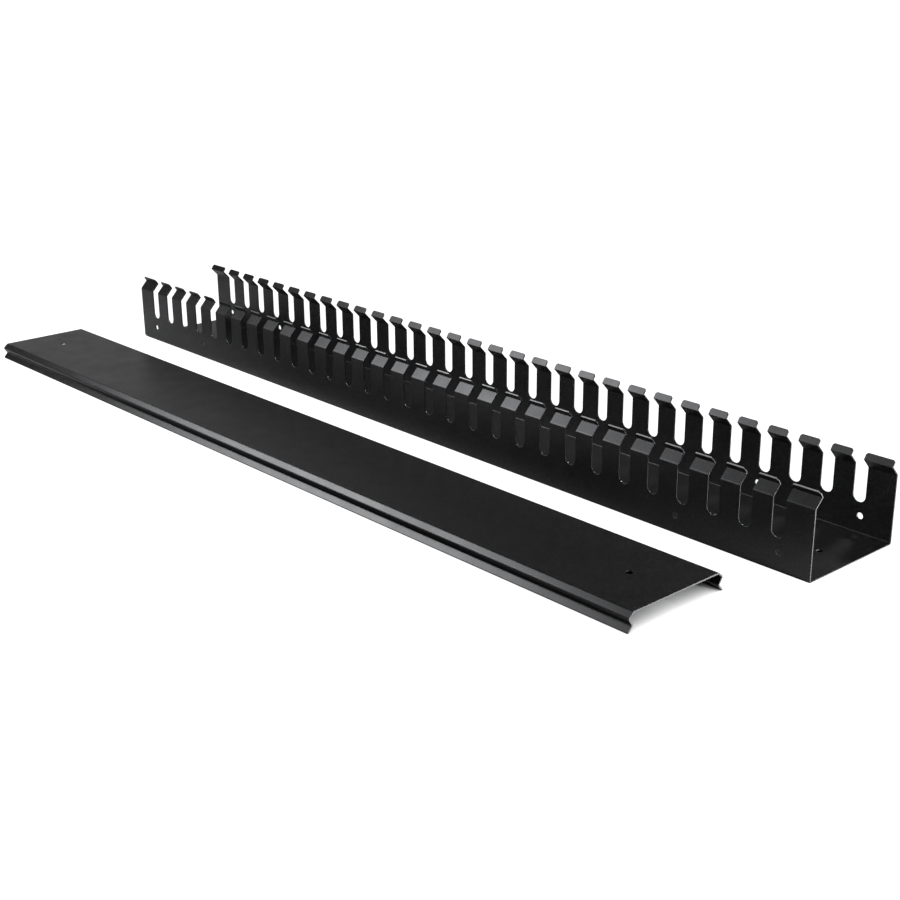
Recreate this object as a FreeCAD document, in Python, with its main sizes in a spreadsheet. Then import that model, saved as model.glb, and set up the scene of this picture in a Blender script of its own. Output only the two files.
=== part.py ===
"""Vertical cable manager for an equipment rack: a folded finger channel and the cover that clips on it.

The channel lies on its back. X runs along its length, Z is up from the back face, and the
origin is the middle of that face. The cover is shown taken off, lying in front of the channel.
"""
import FreeCAD, Part
import math
import os
import Sketcher
from enum import IntEnum
from FreeCAD import Placement, Rotation, Vector

DIMENSIONS = (
    # Sheet and folds
    ("sheet_gauge", 1.2, "steel sheet thickness"),
    ("bend_radius", 1.0, "inside radius of a fold"),
    # Channel section
    ("base_length", 914.4, "overall length"),
    ("base_width", 103.0, "across the outer wall faces"),
    ("wall_height", 56.2, "back face to the fold where the fingers lean in"),
    ("lean_rise", 7.5, "height of the leaning stretch, up to the neck of a finger"),
    ("lean_inset", 7.0, "how far the neck stands in from the wall"),
    ("flare_rise", 4.25, "height of the finger tip above the neck"),
    ("flare_reach", 2.8, "how far the tip turns back out from the neck"),
    # Cable slots
    ("slot_pitch", 29.45, "slot to slot"),
    ("slot_width", 11.3, "gap between fingers"),
    ("slot_floor", 25.8, "back face to the bottom of a slot"),
    ("end_finger", 20.0, "least width of the finger at each end"),
    ("tip_chamfer", 1.5, "corners taken off the finger tips"),
    # Fixing holes of the channel, in a pair at each end
    ("hole_diameter", 5.5, "clearance for an M5 screw"),
    ("hole_end", 28.0, "end of the channel to its first hole"),
    ("hole_spacing", 96.0, "first hole to second hole"),
    ("hole_height", 15.0, "back face to the wall holes"),
    # Cover
    ("cover_shortfall", 9.4, "how much shorter the cover is than the channel"),
    ("cover_lip_rise", 5.1, "lip edge up to the fold that grips the fingers"),
    ("cover_grip_rise", 5.6, "gripping fold up to the widest fold"),
    ("cover_shoulder_rise", 3.3, "widest fold up to the underside of the plate"),
    ("cover_shoulder_run", 4.0, "widest fold in to the fold at the edge of the plate"),
    ("cover_hole_diameter", 6.0, "hole near each end of the plate"),
    ("cover_hole_end", 43.0, "end of the cover to its hole"),
    # Fit of the cover on the fingers
    ("snap_clearance", 0.15, "cover ridge to finger neck, each side"),
    ("tip_clearance", 1.2, "widest fold of the cover to finger tip, each side"),
    # Where the cover lies
    ("cover_gap", 58.2, "channel wall to the nearer cover lip, at mid length"),
    ("cover_shift", 29.7, "cover middle towards the far end of the channel"),
    ("cover_turn", 0.45, "degrees that the cover lies out of parallel"),
)

# Channel: the neck and the tip of the fingers, as half width and height on the outer face
WALL_HALF = "dims.base_width / 2"
NECK_HALF = f"({WALL_HALF} - dims.lean_inset)"
NECK_HEIGHT = "(dims.wall_height + dims.lean_rise)"
TIP_HALF = f"({NECK_HALF} + dims.flare_reach)"
TIP_HEIGHT = f"({NECK_HEIGHT} + dims.flare_rise)"

# As many slots as leave a finger of the least width at each end
SLOT_COUNT = "(floor((dims.base_length - 2 * dims.end_finger - dims.slot_width) / dims.slot_pitch) + 1)"

# Cover: the lip runs parallel to the leaning fingers, so its reach follows their slope
RIDGE_HALF = f"({NECK_HALF} + dims.snap_clearance)"
LIP_HALF = f"({RIDGE_HALF} + dims.cover_lip_rise * dims.lean_inset / dims.lean_rise)"
BULGE_HALF = f"({TIP_HALF} + dims.tip_clearance)"
BULGE_HEIGHT = "(dims.cover_lip_rise + dims.cover_grip_rise)"
COVER_LENGTH = "(dims.base_length - dims.cover_shortfall)"

# Folds of each sheet from its middle outwards, as half width and height on the measured face
CHANNEL_FOLDS = (
    (WALL_HALF, "0"),
    (WALL_HALF, "dims.wall_height"),
    (NECK_HALF, NECK_HEIGHT),
    (TIP_HALF, TIP_HEIGHT),
)
COVER_FOLDS = (
    (f"{BULGE_HALF} - dims.cover_shoulder_run", f"{BULGE_HEIGHT} + dims.cover_shoulder_rise"),
    (BULGE_HALF, BULGE_HEIGHT),
    (RIDGE_HALF, "dims.cover_lip_rise"),
    (LIP_HALF, "0"),
)

# How close two measures of the model have to be to count as the same
MATCH = 1e-4

doc = FreeCAD.newDocument("cable_manager")


class Ref(IntEnum):
    """References of a sketch: points of a line or a circle, and the sketch's own axes."""
    START = 1
    END = 2
    CENTRE = 3
    H_AXIS = -1
    V_AXIS = -2


def make_dimensions():
    """Spreadsheet with one named cell for each driving dimension."""
    sheet = doc.addObject("Spreadsheet::Sheet", "dims")
    for row, (alias, value, note) in enumerate(DIMENSIONS, start=1):
        sheet.set(f"A{row}", alias)
        sheet.set(f"B{row}", str(value))
        sheet.set(f"C{row}", note)
        sheet.setAlias(f"B{row}", alias)
    doc.recompute()
    return sheet


def value_of(formula):
    """Number that a formula of the spreadsheet's cells gives."""
    return float(dims.evalExpression(formula))


def new_sketch(body, name, plane):
    """Sketch on one of the body's own origin planes."""
    sketch = body.newObject("Sketcher::SketchObject", name)
    support = next(feature for feature in body.Origin.OriginFeatures if feature.Role == plane)
    sketch.AttachmentSupport = [(support, "")]
    sketch.MapMode = "FlatFace"
    return sketch


def bind(sketch, kind, references, formula):
    """Dimension of a sketch, bound to a formula."""
    index = sketch.addConstraint(Sketcher.Constraint(kind, *references, value_of(formula)))
    sketch.setExpression(f"Constraints[{index}]", formula)


def bind_height(sketch, geometry, point, formula):
    """Height of a point above the horizontal axis."""
    if formula == "0":
        sketch.addConstraint(Sketcher.Constraint("PointOnObject", geometry, point, Ref.H_AXIS))
    else:
        bind(sketch, "DistanceY", (Ref.H_AXIS, Ref.START, geometry, point), formula)


def add_outline(sketch, points):
    """Closed outline of straight lines through the points."""
    count = len(points)
    for i, point in enumerate(points):
        sketch.addGeometry(Part.LineSegment(point, points[(i + 1) % count]), False)
    for i in range(count):
        sketch.addConstraint(Sketcher.Constraint("Coincident", i, Ref.END, (i + 1) % count, Ref.START))


def offset_corners(face):
    """Corners of the sheet's other face, which lies to the left of the measured one, going outwards."""
    gauge = value_of("dims.sheet_gauge")
    path = [Vector(-face[0].x, face[0].y, 0)] + face
    runs = [(path[i + 1] - path[i]).normalize() for i in range(len(face))]
    normals = [Vector(-run.y, run.x, 0) for run in runs]
    corners = []
    for i, corner in enumerate(face):
        first = normals[i]
        second = normals[min(i + 1, len(face) - 1)]
        corners.append(corner + (first + second) * (gauge / (1 + first.dot(second))))
    return corners


def add_folded_section(body, name, folds):
    """Section of a folded sheet, alike on both sides of the vertical axis, with sharp folds.

    The outline runs out along the measured face, over the sheet's edge and back along the other
    face, and then the same way back on the left.
    """
    sketch = new_sketch(body, name, "YZ_Plane")
    face = [Vector(value_of(half), value_of(height), 0) for half, height in folds]
    other = offset_corners(face)
    right = face + other[::-1]
    left = [Vector(-corner.x, corner.y, 0) for corner in right[::-1]]
    add_outline(sketch, right + left)
    last = len(right + left) - 1
    for i in range(len(right)):
        sketch.addConstraint(Sketcher.Constraint("Symmetric", i, Ref.START, last - i, Ref.START, Ref.V_AXIS))
    for i, (half, height) in enumerate(folds):
        bind(sketch, "DistanceX", (Ref.H_AXIS, Ref.START, i, Ref.START), half)
        bind_height(sketch, i, Ref.START, height)
    # Each run of the other face is parallel to its run of the measured face
    edge = len(folds) - 1
    for i in range(edge):
        back = 2 * edge - i
        sketch.addConstraint(Sketcher.Constraint("Parallel", i, back))
        bind(sketch, "Distance", (back, Ref.START, i), "dims.sheet_gauge")
    bind(sketch, "Distance", (len(right) - 1, Ref.START, last), "dims.sheet_gauge")
    sketch.addConstraint(Sketcher.Constraint("Perpendicular", edge - 1, edge))
    return face, other


def pad_along(body, name, profile, length):
    """Solid of a section, the same distance each way along X."""
    pad = body.newObject("PartDesign::Pad", name)
    pad.Profile = body.getObject(profile)
    pad.SideType = "Symmetric"
    pad.setExpression("Length", length)
    doc.recompute()
    return pad


def edges_along_fold(feature, corner):
    """Names of the lengthwise edges at a section corner, on both sides of the middle."""
    names = []
    for i, edge in enumerate(feature.Shape.Edges, start=1):
        middle = edge.CenterOfMass
        lengthwise = abs(edge.tangentAt(edge.FirstParameter).x) > 1 - MATCH
        at_corner = abs(abs(middle.y) - corner.x) < MATCH and abs(middle.z - corner.y) < MATCH
        if lengthwise and at_corner:
            names.append(f"Edge{i}")
    return names


def add_fillet(body, name, base, edges, radius):
    """Rounded edges of a feature."""
    fillet = body.newObject("PartDesign::Fillet", name)
    fillet.Base = (base, edges)
    fillet.setExpression("Radius", radius)
    doc.recompute()
    return fillet


def round_folds(body, pad, face, other, inner_count, outer_count):
    """Folds with the bend radius inside, and the sheet's thickness more outside.

    The counts say how many folds, from the middle outwards, are rounded on each side. The others
    are sharp creases, which saves faces where a fold is cut into many fingers.
    """
    path = [Vector(-face[0].x, face[0].y, 0)] + face
    inside = []
    outside = []
    for i in range(1, len(face)):
        turn = (path[i] - path[i - 1]).cross(path[i + 1] - path[i]).z
        across = (path[i] - path[i - 1]).cross(other[i - 1] - path[i]).z
        turns_to_other = turn * across > 0
        inside.append(other[i - 1] if turns_to_other else face[i - 1])
        outside.append(face[i - 1] if turns_to_other else other[i - 1])
    inner_edges = [name for corner in inside[:inner_count] for name in edges_along_fold(pad, corner)]
    inner = add_fillet(body, "inside_folds", pad, inner_edges, "dims.bend_radius")
    outer_edges = [name for corner in outside[:outer_count] for name in edges_along_fold(inner, corner)]
    return add_fillet(body, "outside_folds", inner, outer_edges, "dims.bend_radius + dims.sheet_gauge")


def cut_through(body, name, sketch):
    """Cut of a sketch through the whole body, both ways."""
    before = body.Shape.Volume
    pocket = body.newObject("PartDesign::Pocket", name)
    pocket.Profile = sketch
    pocket.Type = "ThroughAll"
    pocket.SideType = "Symmetric"
    doc.recompute()
    if pocket.Shape.Volume > before - MATCH:
        raise RuntimeError(f"{name} cuts nothing")
    return pocket


def punch_holes(body, name, plane, stations, height, diameter):
    """Round holes at stations along X, alike on both sides of the middle."""
    sketch = new_sketch(body, f"{name}_centres", plane)
    radius = value_of(diameter) / 2
    for station in stations:
        place = Vector(value_of(station), value_of(height), 0)
        right = sketch.addGeometry(Part.Circle(place, Vector(0, 0, 1), radius), False)
        mirror = Vector(-place.x, place.y, 0)
        left = sketch.addGeometry(Part.Circle(mirror, Vector(0, 0, 1), radius), False)
        bind(sketch, "DistanceX", (Ref.H_AXIS, Ref.START, right, Ref.CENTRE), station)
        bind_height(sketch, right, Ref.CENTRE, height)
        bind(sketch, "Diameter", (right,), diameter)
        mirrored = Sketcher.Constraint("Symmetric", right, Ref.CENTRE, left, Ref.CENTRE, Ref.V_AXIS)
        sketch.addConstraint(mirrored)
        sketch.addConstraint(Sketcher.Constraint("Equal", right, left))
    return cut_through(body, name, sketch)


def cut_slots(body):
    """Row of round-bottomed cable slots, open at the top, through both walls."""
    first = f"dims.slot_pitch * ({SLOT_COUNT} - 1) / 2"
    over_tips = f"{TIP_HEIGHT} + dims.sheet_gauge"
    sketch = new_sketch(body, "slot_outline", "XZ_Plane")
    middle = -value_of(first)
    half = value_of("dims.slot_width") / 2
    round_height = value_of("dims.slot_floor") + half
    top = value_of(over_tips)
    corners = [
        Vector(middle - half, round_height, 0),
        Vector(middle - half, top, 0),
        Vector(middle + half, top, 0),
        Vector(middle + half, round_height, 0),
    ]
    for start, end in zip(corners, corners[1:]):
        sketch.addGeometry(Part.LineSegment(start, end))
    left_side, top_side, right_side, bottom = range(4)
    circle = Part.Circle(Vector(middle, round_height, 0), Vector(0, 0, 1), half)
    sketch.addGeometry(Part.ArcOfCircle(circle, math.pi, 2 * math.pi))
    for constraint in (
        Sketcher.Constraint("Coincident", left_side, Ref.END, top_side, Ref.START),
        Sketcher.Constraint("Coincident", top_side, Ref.END, right_side, Ref.START),
        Sketcher.Constraint("Tangent", left_side, Ref.START, bottom, Ref.START),
        Sketcher.Constraint("Tangent", right_side, Ref.END, bottom, Ref.END),
        Sketcher.Constraint("Vertical", left_side),
        Sketcher.Constraint("Vertical", right_side),
        Sketcher.Constraint("Horizontal", top_side),
    ):
        sketch.addConstraint(constraint)
    bind(sketch, "DistanceX", (left_side, Ref.START, right_side, Ref.END), "dims.slot_width")
    bind(sketch, "DistanceX", (bottom, Ref.CENTRE, Ref.H_AXIS, Ref.START), first)
    bind_height(sketch, bottom, Ref.CENTRE, "dims.slot_floor + dims.slot_width / 2")
    bind_height(sketch, top_side, Ref.START, over_tips)
    slot = cut_through(body, "slot", sketch)
    row = body.newObject("PartDesign::LinearPattern", "slot_row")
    row.Originals = [slot]
    row.Direction = (sketch, ["H_Axis"])
    row.Mode = "Spacing"
    row.setExpression("Offset", "dims.slot_pitch")
    row.setExpression("Occurrences", SLOT_COUNT)
    body.Tip = row
    doc.recompute()
    return row


def chamfer_tips(body, row):
    """Corners taken off every finger tip: the short edges through the sheet along the top."""
    gauge = value_of("dims.sheet_gauge")
    tip_height = value_of(TIP_HEIGHT)
    corners = [
        f"Edge{i}"
        for i, edge in enumerate(row.Shape.Edges, start=1)
        if abs(edge.Length - gauge) < MATCH and edge.CenterOfMass.z > tip_height
    ]
    chamfer = body.newObject("PartDesign::Chamfer", "tip_corners")
    chamfer.Base = (row, corners)
    chamfer.setExpression("Size", "dims.tip_chamfer")
    doc.recompute()
    return chamfer


def make_channel():
    """Channel folded from one sheet, with a row of fingers along each wall."""
    body = doc.addObject("PartDesign::Body", "finger_channel")
    body.Label = "finger_channel"
    face, other = add_folded_section(body, "channel_section", CHANNEL_FOLDS)
    pad = pad_along(body, "channel_sheet", "channel_section", "dims.base_length")
    round_folds(body, pad, face, other, inner_count=1, outer_count=2)
    row = cut_slots(body)
    chamfer_tips(body, row)
    first = "dims.base_length / 2 - dims.hole_end"
    stations = (first, f"{first} - dims.hole_spacing")
    punch_holes(body, "wall_holes", "XZ_Plane", stations, "dims.hole_height", "dims.hole_diameter")
    punch_holes(body, "back_holes", "XY_Plane", stations, "0", "dims.hole_diameter")
    return body


def make_cover():
    """Cover folded from one sheet, whose edges grip the necks of the fingers."""
    body = doc.addObject("PartDesign::Body", "snap_cover")
    body.Label = "snap_cover"
    face, other = add_folded_section(body, "cover_section", COVER_FOLDS)
    pad = pad_along(body, "cover_sheet", "cover_section", COVER_LENGTH)
    round_folds(body, pad, face, other, inner_count=3, outer_count=3)
    stations = (f"{COVER_LENGTH} / 2 - dims.cover_hole_end",)
    punch_holes(body, "plate_holes", "XY_Plane", stations, "0", "dims.cover_hole_diameter")
    body.Placement = Placement(Vector(), Rotation(Vector(0, 0, 1), value_of("dims.cover_turn")))
    body.setExpression("Placement.Rotation.Angle", "dims.cover_turn")
    body.setExpression("Placement.Base.x", "-dims.cover_shift")
    body.setExpression("Placement.Base.y", f"-(dims.base_width / 2 + dims.cover_gap + {LIP_HALF})")
    doc.recompute()
    return body


def check(bodies):
    """Stop if any object failed or any sub-part is not one closed, valid solid."""
    for item in doc.Objects:
        if "Invalid" in item.State or "Error" in item.State:
            raise RuntimeError(f"{item.Label} failed: {item.State}")
    for body in bodies:
        shape = body.Shape
        if shape.isNull() or not shape.isValid() or len(shape.Solids) != 1:
            raise RuntimeError(f"{body.Label} is not one valid solid")


dims = make_dimensions()
sub_parts = [make_channel(), make_cover()]
doc.recompute()
check(sub_parts)
os.makedirs("parts", exist_ok=True)
for sub_part in sub_parts:
    sub_part.Shape.exportStep(f"parts/{sub_part.Label}.step")
    box = sub_part.Shape.BoundBox
    print(sub_part.Label, round(sub_part.Shape.Volume), "mm3", box)
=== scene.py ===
"""Looks of the vertical cable manager: satin black powder coat on folded sheet steel, on a white floor."""

import math

import bpy
from mathutils import Matrix, Vector


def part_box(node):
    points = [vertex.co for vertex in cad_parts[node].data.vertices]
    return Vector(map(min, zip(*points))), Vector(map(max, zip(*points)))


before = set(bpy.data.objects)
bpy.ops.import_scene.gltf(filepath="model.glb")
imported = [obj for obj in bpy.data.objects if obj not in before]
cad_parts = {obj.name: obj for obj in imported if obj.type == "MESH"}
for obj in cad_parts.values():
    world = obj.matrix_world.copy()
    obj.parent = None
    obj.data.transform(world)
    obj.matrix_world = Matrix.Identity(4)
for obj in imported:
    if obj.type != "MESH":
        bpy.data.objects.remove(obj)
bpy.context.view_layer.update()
channel_low, channel_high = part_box("finger_channel")

# Camera, in metres and degrees
CAMERA_PLACE = Vector((0.9914, -0.8612, 0.4394))
CAMERA_TARGET = Vector((0.1367, -0.1079, 0.0300))
CAMERA_ROLL = -0.484
CAMERA_LENS_MM = 58.08
SENSOR_MM = 36.0

# Lamps: place, target, width, height, watts
WORLD_LIGHT = 0.17
LAMP_COLOR = (0.96, 0.97, 1.0)
KEY_LAMP = (Vector((-0.325, -0.43, 0.40)), Vector((0.0, -0.10, 0.03)), 0.47, 0.38, 5.25)
TOP_LAMP = (Vector((0.30, 0.55, 0.76)), Vector((0.0, -0.05, 0.03)), 0.16, 0.16, 2.2)
END_LAMP = (Vector((0.90, -0.02, 0.12)), Vector((0.40, -0.03, 0.02)), 0.10, 0.10, 5.6)

# Floor: its shade, its lift to white for the camera, and the openness over which the lift sets in; where the
# floor is less open the lift fades, which paints the shadow under the object
WHITE = (1.0, 1.0, 1.0, 1.0)
FLOOR_SIZE = 30.0
FLOOR_SHADE = 0.25
FLOOR_LIFT = 1.05
OPEN_DISTANCE = 0.04
OPEN_RANGE = (0.10, 0.56)

# Floor as reflections see it, a painted pool of light and shade: dark in front, lighter beside and behind
# the channel and past the ends
POOL_FRONT = (-0.075, -0.055)
POOL_FRONT_SHADES = (0.03, 0.50)
POOL_ENDS = (0.22, 0.52)
POOL_END_SHADES = (0.06, 0.7)

# Painted shade: the floor is painted black under the channel and round the cover's near hole, here as middle
# and half size from above
UNDER_INSET = 0.0005
channel_middle = (channel_low + channel_high) / 2
channel_half = (channel_high - channel_low) / 2
UNDER_CHANNEL_SHADE_BOX = (channel_middle.xy, channel_half.xy - Vector((UNDER_INSET, UNDER_INSET)))
COVER_HOLE_SHADE_BOX = ((0.368, -0.142), (0.026, 0.030))

# Backdrop as reflections see it: it fades upwards, towards the front and along the length
HEIGHT_FADE = (0.16, 0.33)
HEIGHT_LEVELS = (1.0, 0.1)
BEHIND_FADE = (-0.4, 0.1)
BEHIND_LEVELS = (0.1, 1.0)
ALONG_FADE = (-0.85, -0.50)
ALONG_LEVELS = (1.0, 0.25)

# Powder coat: colours of its grain and of the edges, which are partly a thin coat and partly a painted
# highlight, gloss, clouding and grain
COAT_DARK = (0.0005, 0.0005, 0.0006, 1.0)
COAT_LIGHT = (0.0120, 0.0120, 0.0122, 1.0)
EDGE_COAT_AND_HIGHLIGHT = (0.38, 0.38, 0.384, 1.0)
COAT_SPECULAR = 0.5
COAT_ROUGHNESS = (0.37, 0.43)
CUT_SMOOTHING = 0.20
CLOUD_SCALE = 45.0
CLOUD_DETAIL = 3.0
CLOUD_RANGE = (0.3, 0.7)
GRAIN_SCALE = 560.0
GRAIN_DETAIL = 2.0
GRAIN_RANGE = (0.46, 0.72)
GRAIN_DEPTH = 0.00005
GRAIN_STRENGTH = 0.5
EDGE_ROUND = 0.0007

# Lighter grey on cut faces, which face along the length, and on tips, which face up: partly a thin coat,
# partly a painted highlight. Its growth to the near end is painted light
CUT_FACING = (0.2, 0.5)
CUT_HIGHLIGHT_STRETCH = (0.05, 0.45)
CUT_COAT_AND_HIGHLIGHT_SHARES = (0.10, 0.45)
TIP_FACING = 0.7
TIP_HIGHLIGHT_STRETCH = (-0.30, 0.06)
TIP_COAT_AND_HIGHLIGHT_SHARES = (0.04, 1.0)

# Middle of the channel's sheet: heights of the wall fold, the neck and the tip, and half widths there
SHEET = 0.0012
FOLD_DROP = 0.0124
NECK_DROP = 0.0049
TIP_DROP = 0.0003
NECK_INSET = 0.0072
TIP_REACH = 0.0031
FOLD_HEIGHT = channel_high.z - FOLD_DROP
NECK_HEIGHT = channel_high.z - NECK_DROP
TIP_HEIGHT = channel_high.z - TIP_DROP
WALL_HALF = channel_high.y - SHEET / 2
NECK_HALF = WALL_HALF - NECK_INSET
BACK_MIDDLE = SHEET / 2


def new_material(name):
    """Empty node material, with its node tree and its surface socket."""
    material = bpy.data.materials.new(name)
    material.use_nodes = True
    tree = material.node_tree
    tree.nodes.clear()
    output = tree.nodes.new("ShaderNodeOutputMaterial")
    return material, tree, output.inputs["Surface"]


def math_node(tree, operation, result, *others):
    """One operation on a socket and, in turn, on the sockets or numbers that follow it."""
    for other in others:
        node = tree.nodes.new("ShaderNodeMath")
        node.operation = operation
        tree.links.new(result, node.inputs[0])
        if isinstance(other, float):
            node.inputs[1].default_value = other
        else:
            tree.links.new(other, node.inputs[1])
        result = node.outputs["Value"]
    return result


def absolute(tree, value):
    """Size of a value, without its sign."""
    return math_node(tree, "ABSOLUTE", value, 0.0)


def map_range(tree, value, source, target, smooth=False):
    """Value taken from one range of numbers to another."""
    node = tree.nodes.new("ShaderNodeMapRange")
    node.interpolation_type = "SMOOTHSTEP" if smooth else "LINEAR"
    node.inputs["From Min"].default_value, node.inputs["From Max"].default_value = source
    node.inputs["To Min"].default_value, node.inputs["To Max"].default_value = target
    tree.links.new(value, node.inputs["Value"])
    return node.outputs["Result"]


def mix_color(tree, factor, first, second):
    """Mix of two colours, each a socket or a fixed colour."""
    node = tree.nodes.new("ShaderNodeMix")
    node.data_type = "RGBA"
    tree.links.new(factor, node.inputs["Factor"])
    for name, color in (("A", first), ("B", second)):
        socket = next(s for s in node.inputs if s.name == name and s.type == "RGBA")
        if isinstance(color, tuple):
            socket.default_value = color
        else:
            tree.links.new(color, socket)
    return next(s for s in node.outputs if s.type == "RGBA")


def noise(tree, coords, scale, detail):
    """Noise on the object's own coordinates."""
    node = tree.nodes.new("ShaderNodeTexNoise")
    node.inputs["Scale"].default_value = scale
    node.inputs["Detail"].default_value = detail
    tree.links.new(coords.outputs["Object"], node.inputs["Vector"])
    return node.outputs["Fac"]


def split_xyz(tree, vector):
    """Parts of a vector."""
    node = tree.nodes.new("ShaderNodeSeparateXYZ")
    tree.links.new(vector, node.inputs["Vector"])
    return node.outputs["X"], node.outputs["Y"], node.outputs["Z"]


def inside_box(tree, along, side, middle, half):
    """1 over a rectangle, seen from above."""
    within = []
    for place, center, reach in zip((along, side), middle, half):
        distance = absolute(tree, math_node(tree, "SUBTRACT", place, center))
        within.append(math_node(tree, "LESS_THAN", distance, reach))
    return math_node(tree, "MULTIPLY", *within)


def ray_kinds(tree):
    """Sockets that are 1 for rays from the camera, and 1 for rays that were reflected or let through."""
    path = tree.nodes.new("ShaderNodeLightPath")
    mirrored = math_node(tree, "MAXIMUM", path.outputs["Is Glossy Ray"], path.outputs["Is Transmission Ray"])
    return path.outputs["Is Camera Ray"], mirrored


def outer_side_mask(tree, side, height):
    """1 outside the middle of the channel's sheet, and on all of the cover, which lies further out."""
    leaned = map_range(tree, height, (FOLD_HEIGHT, NECK_HEIGHT), (WALL_HALF, NECK_HALF))
    flared = map_range(tree, height, (NECK_HEIGHT, TIP_HEIGHT), (0.0, TIP_REACH))
    middle = math_node(tree, "ADD", leaned, flared)
    out = math_node(tree, "GREATER_THAN", absolute(tree, side), middle)
    under = math_node(tree, "LESS_THAN", height, BACK_MIDDLE)
    return math_node(tree, "MAXIMUM", out, under)


def cut_edge_masks(tree, coords):
    """Mask of the outer half of the cut faces, whose edge the punch rounded, and share of lighter grey: thin
    coat, and a painted highlight that grows to the near end.
    """
    facing_along, _, facing_up = split_xyz(tree, coords.outputs["Normal"])
    along, side, height = split_xyz(tree, coords.outputs["Object"])
    cut = map_range(tree, absolute(tree, facing_along), CUT_FACING, (0.0, 1.0), smooth=True)
    outer = outer_side_mask(tree, side, height)
    # The cut faces round the cover's near hole get no lighter grey, to keep the painted shade there dark
    in_hole = inside_box(tree, along, side, *COVER_HOLE_SHADE_BOX)
    rounded = math_node(tree, "MULTIPLY", cut, math_node(tree, "GREATER_THAN", outer, in_hole))
    # Painted highlight: the cut faces' lighter share grows along the length to the near end
    cut_coat_and_highlight = math_node(tree, "MULTIPLY", rounded, map_range(tree, along, CUT_HIGHLIGHT_STRETCH, CUT_COAT_AND_HIGHLIGHT_SHARES))
    high = math_node(tree, "GREATER_THAN", height, NECK_HEIGHT)
    level = math_node(tree, "GREATER_THAN", facing_up, TIP_FACING)
    # Painted highlight: the tips' lighter share grows along the length to the near end
    tip_coat_and_highlight = math_node(tree, "MULTIPLY", high, level, map_range(tree, along, TIP_HIGHLIGHT_STRETCH, TIP_COAT_AND_HIGHLIGHT_SHARES))
    return rounded, math_node(tree, "MAXIMUM", cut_coat_and_highlight, tip_coat_and_highlight)


def powder_coat():
    """Satin black powder coat with a fine grain, greyer on the cut edges and finger tips: partly a thinner
    coat, partly a painted highlight.
    """
    material, tree, surface = new_material("black_powder_coat")
    coords = tree.nodes.new("ShaderNodeTexCoord")
    shader = tree.nodes.new("ShaderNodeBsdfPrincipled")
    shader.inputs["Specular IOR Level"].default_value = COAT_SPECULAR
    tree.links.new(shader.outputs["BSDF"], surface)
    cut, coat_and_highlight = cut_edge_masks(tree, coords)

    grain = noise(tree, coords, GRAIN_SCALE, GRAIN_DETAIL)
    speckle = map_range(tree, grain, GRAIN_RANGE, (0.0, 1.0))
    coat = mix_color(tree, speckle, COAT_DARK, COAT_LIGHT)
    # Lighter grey on cut edges and tips: part thin coat, part painted highlight
    tree.links.new(mix_color(tree, coat_and_highlight, coat, EDGE_COAT_AND_HIGHLIGHT), shader.inputs["Base Color"])

    cloud = noise(tree, coords, CLOUD_SCALE, CLOUD_DETAIL)
    matt = map_range(tree, cloud, CLOUD_RANGE, COAT_ROUGHNESS)
    smoothed = math_node(tree, "MULTIPLY", cut, CUT_SMOOTHING)
    tree.links.new(math_node(tree, "SUBTRACT", matt, smoothed), shader.inputs["Roughness"])

    edge = tree.nodes.new("ShaderNodeBevel")
    edge.inputs["Radius"].default_value = EDGE_ROUND
    bump = tree.nodes.new("ShaderNodeBump")
    bump.inputs["Strength"].default_value = GRAIN_STRENGTH
    bump.inputs["Distance"].default_value = GRAIN_DEPTH
    tree.links.new(grain, bump.inputs["Height"])
    tree.links.new(edge.outputs["Normal"], bump.inputs["Normal"])
    tree.links.new(bump.outputs["Normal"], shader.inputs["Normal"])
    return material


def floor_white():
    """Pale floor, lifted to white where it lies open, so that it keeps a painted shadow under the object,
    and painted black under the channel and round the cover's near hole.
    """
    material, tree, surface = new_material("floor_white")
    camera_ray, mirrored = ray_kinds(tree)
    coords = tree.nodes.new("ShaderNodeTexCoord")
    along, side, _ = split_xyz(tree, coords.outputs["Object"])
    # Painted shade: the floor is black, and gets no lift, under the channel and round the cover's near hole
    painted_shade_boxes = [inside_box(tree, along, side, *area) for area in (UNDER_CHANNEL_SHADE_BOX, COVER_HOLE_SHADE_BOX)]
    clear = map_range(tree, math_node(tree, "MAXIMUM", *painted_shade_boxes), (0.0, 1.0), (1.0, 0.0))

    # Painted pool of light and shade on the floor, which only reflections see
    by_front = map_range(tree, side, POOL_FRONT, POOL_FRONT_SHADES)
    by_ends = map_range(tree, absolute(tree, along), POOL_ENDS, POOL_END_SHADES)
    shade = tree.nodes.new("ShaderNodeMix")
    shade.inputs["A"].default_value = FLOOR_SHADE
    tree.links.new(mirrored, shade.inputs["Factor"])
    tree.links.new(math_node(tree, "MAXIMUM", by_front, by_ends), shade.inputs["B"])
    paper = tree.nodes.new("ShaderNodeBsdfDiffuse")
    tree.links.new(math_node(tree, "MULTIPLY", shade.outputs["Result"], clear), paper.inputs["Color"])

    # Painted shadow: the lift fades with ambient occlusion near and under the object
    openness = tree.nodes.new("ShaderNodeAmbientOcclusion")
    openness.inputs["Distance"].default_value = OPEN_DISTANCE
    opened = map_range(tree, openness.outputs["AO"], OPEN_RANGE, (0.0, 1.0))
    strength = math_node(tree, "MULTIPLY", camera_ray, FLOOR_LIFT, clear, opened)
    lift = tree.nodes.new("ShaderNodeEmission")
    lift.inputs["Color"].default_value = WHITE
    tree.links.new(strength, lift.inputs["Strength"])

    both = tree.nodes.new("ShaderNodeAddShader")
    tree.links.new(paper.outputs["BSDF"], both.inputs[0])
    tree.links.new(lift.outputs["Emission"], both.inputs[1])
    tree.links.new(both.outputs["Shader"], surface)
    return material


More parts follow.
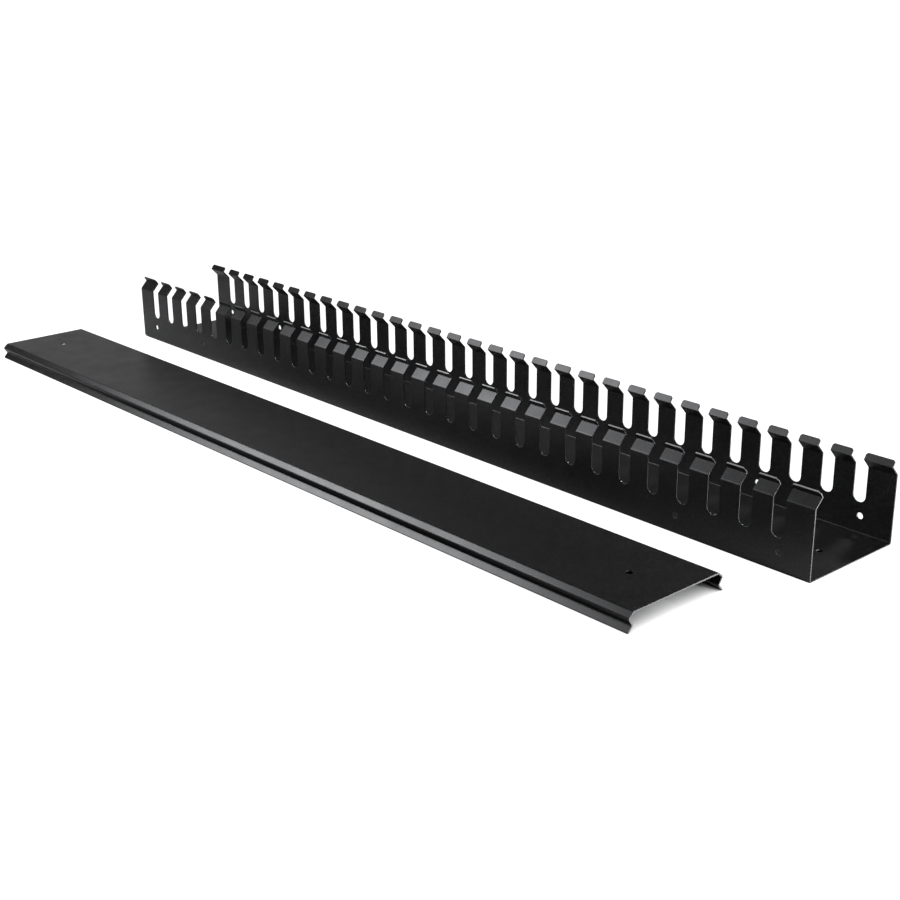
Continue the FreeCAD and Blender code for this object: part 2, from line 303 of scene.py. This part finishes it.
def make_floor():
    """Wide flat floor, which isn't part of the object."""
    half = FLOOR_SIZE / 2
    corners = [(-half, -half, 0), (half, -half, 0), (half, half, 0), (-half, half, 0)]
    mesh = bpy.data.meshes.new("floor")
    mesh.from_pydata(corners, [], [(0, 1, 2, 3)])
    mesh.materials.append(floor_white())
    floor = bpy.data.objects.new("floor", mesh)
    bpy.context.scene.collection.objects.link(floor)


def make_world():
    """Soft even light. The camera sees white, and reflections see it low down behind the object only."""
    world = bpy.data.worlds.new("studio")
    world.use_nodes = True
    tree = world.node_tree
    tree.nodes.clear()
    light = tree.nodes.new("ShaderNodeBackground")
    light.inputs["Color"].default_value = WHITE
    light.inputs["Strength"].default_value = WORLD_LIGHT

    direction = tree.nodes.new("ShaderNodeTexCoord")
    along, behind, up = split_xyz(tree, direction.outputs["Generated"])
    by_height = map_range(tree, up, HEIGHT_FADE, HEIGHT_LEVELS)
    by_depth = map_range(tree, behind, BEHIND_FADE, BEHIND_LEVELS)
    by_length = map_range(tree, along, ALONG_FADE, ALONG_LEVELS)
    fade = math_node(tree, "MULTIPLY", by_height, by_depth, by_length)
    camera_ray, mirrored = ray_kinds(tree)
    backdrop = tree.nodes.new("ShaderNodeBackground")
    backdrop.inputs["Color"].default_value = WHITE
    tree.links.new(math_node(tree, "MAXIMUM", camera_ray, fade), backdrop.inputs["Strength"])

    mix = tree.nodes.new("ShaderNodeMixShader")
    output = tree.nodes.new("ShaderNodeOutputWorld")
    tree.links.new(math_node(tree, "MAXIMUM", camera_ray, mirrored), mix.inputs["Fac"])
    tree.links.new(light.outputs["Background"], mix.inputs[1])
    tree.links.new(backdrop.outputs["Background"], mix.inputs[2])
    tree.links.new(mix.outputs["Shader"], output.inputs["Surface"])
    bpy.context.scene.world = world


def add_softbox(name, place, target, width, height, watts):
    """Rectangular lamp at a place, turned to a target."""
    lamp = bpy.data.lights.new(name, "AREA")
    lamp.shape = "RECTANGLE"
    lamp.size = width
    lamp.size_y = height
    lamp.energy = watts
    lamp.color = LAMP_COLOR
    softbox = bpy.data.objects.new(name, lamp)
    softbox.location = place
    softbox.rotation_euler = (target - place).to_track_quat("-Z", "Y").to_euler()
    softbox.visible_camera = False
    bpy.context.scene.collection.objects.link(softbox)


def make_camera():
    """Camera at the viewing angle of the photograph."""
    data = bpy.data.cameras.new("camera")
    data.sensor_fit = "HORIZONTAL"
    data.sensor_width = SENSOR_MM
    data.lens = CAMERA_LENS_MM
    camera = bpy.data.objects.new("camera", data)
    bpy.context.scene.collection.objects.link(camera)
    facing = (CAMERA_TARGET - CAMERA_PLACE).to_track_quat("-Z", "Y").to_matrix()
    turned = facing @ Matrix.Rotation(math.radians(CAMERA_ROLL), 3, "Z")
    camera.matrix_world = Matrix.Translation(CAMERA_PLACE) @ turned.to_4x4()
    bpy.context.scene.camera = camera


coat_material = powder_coat()
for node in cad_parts.values():
    node.data.materials.clear()
    node.data.materials.append(coat_material)
make_world()
make_floor()
add_softbox("key", *KEY_LAMP)
add_softbox("top", *TOP_LAMP)
add_softbox("end", *END_LAMP)
make_camera()
bpy.context.scene.view_settings.view_transform = "Standard"
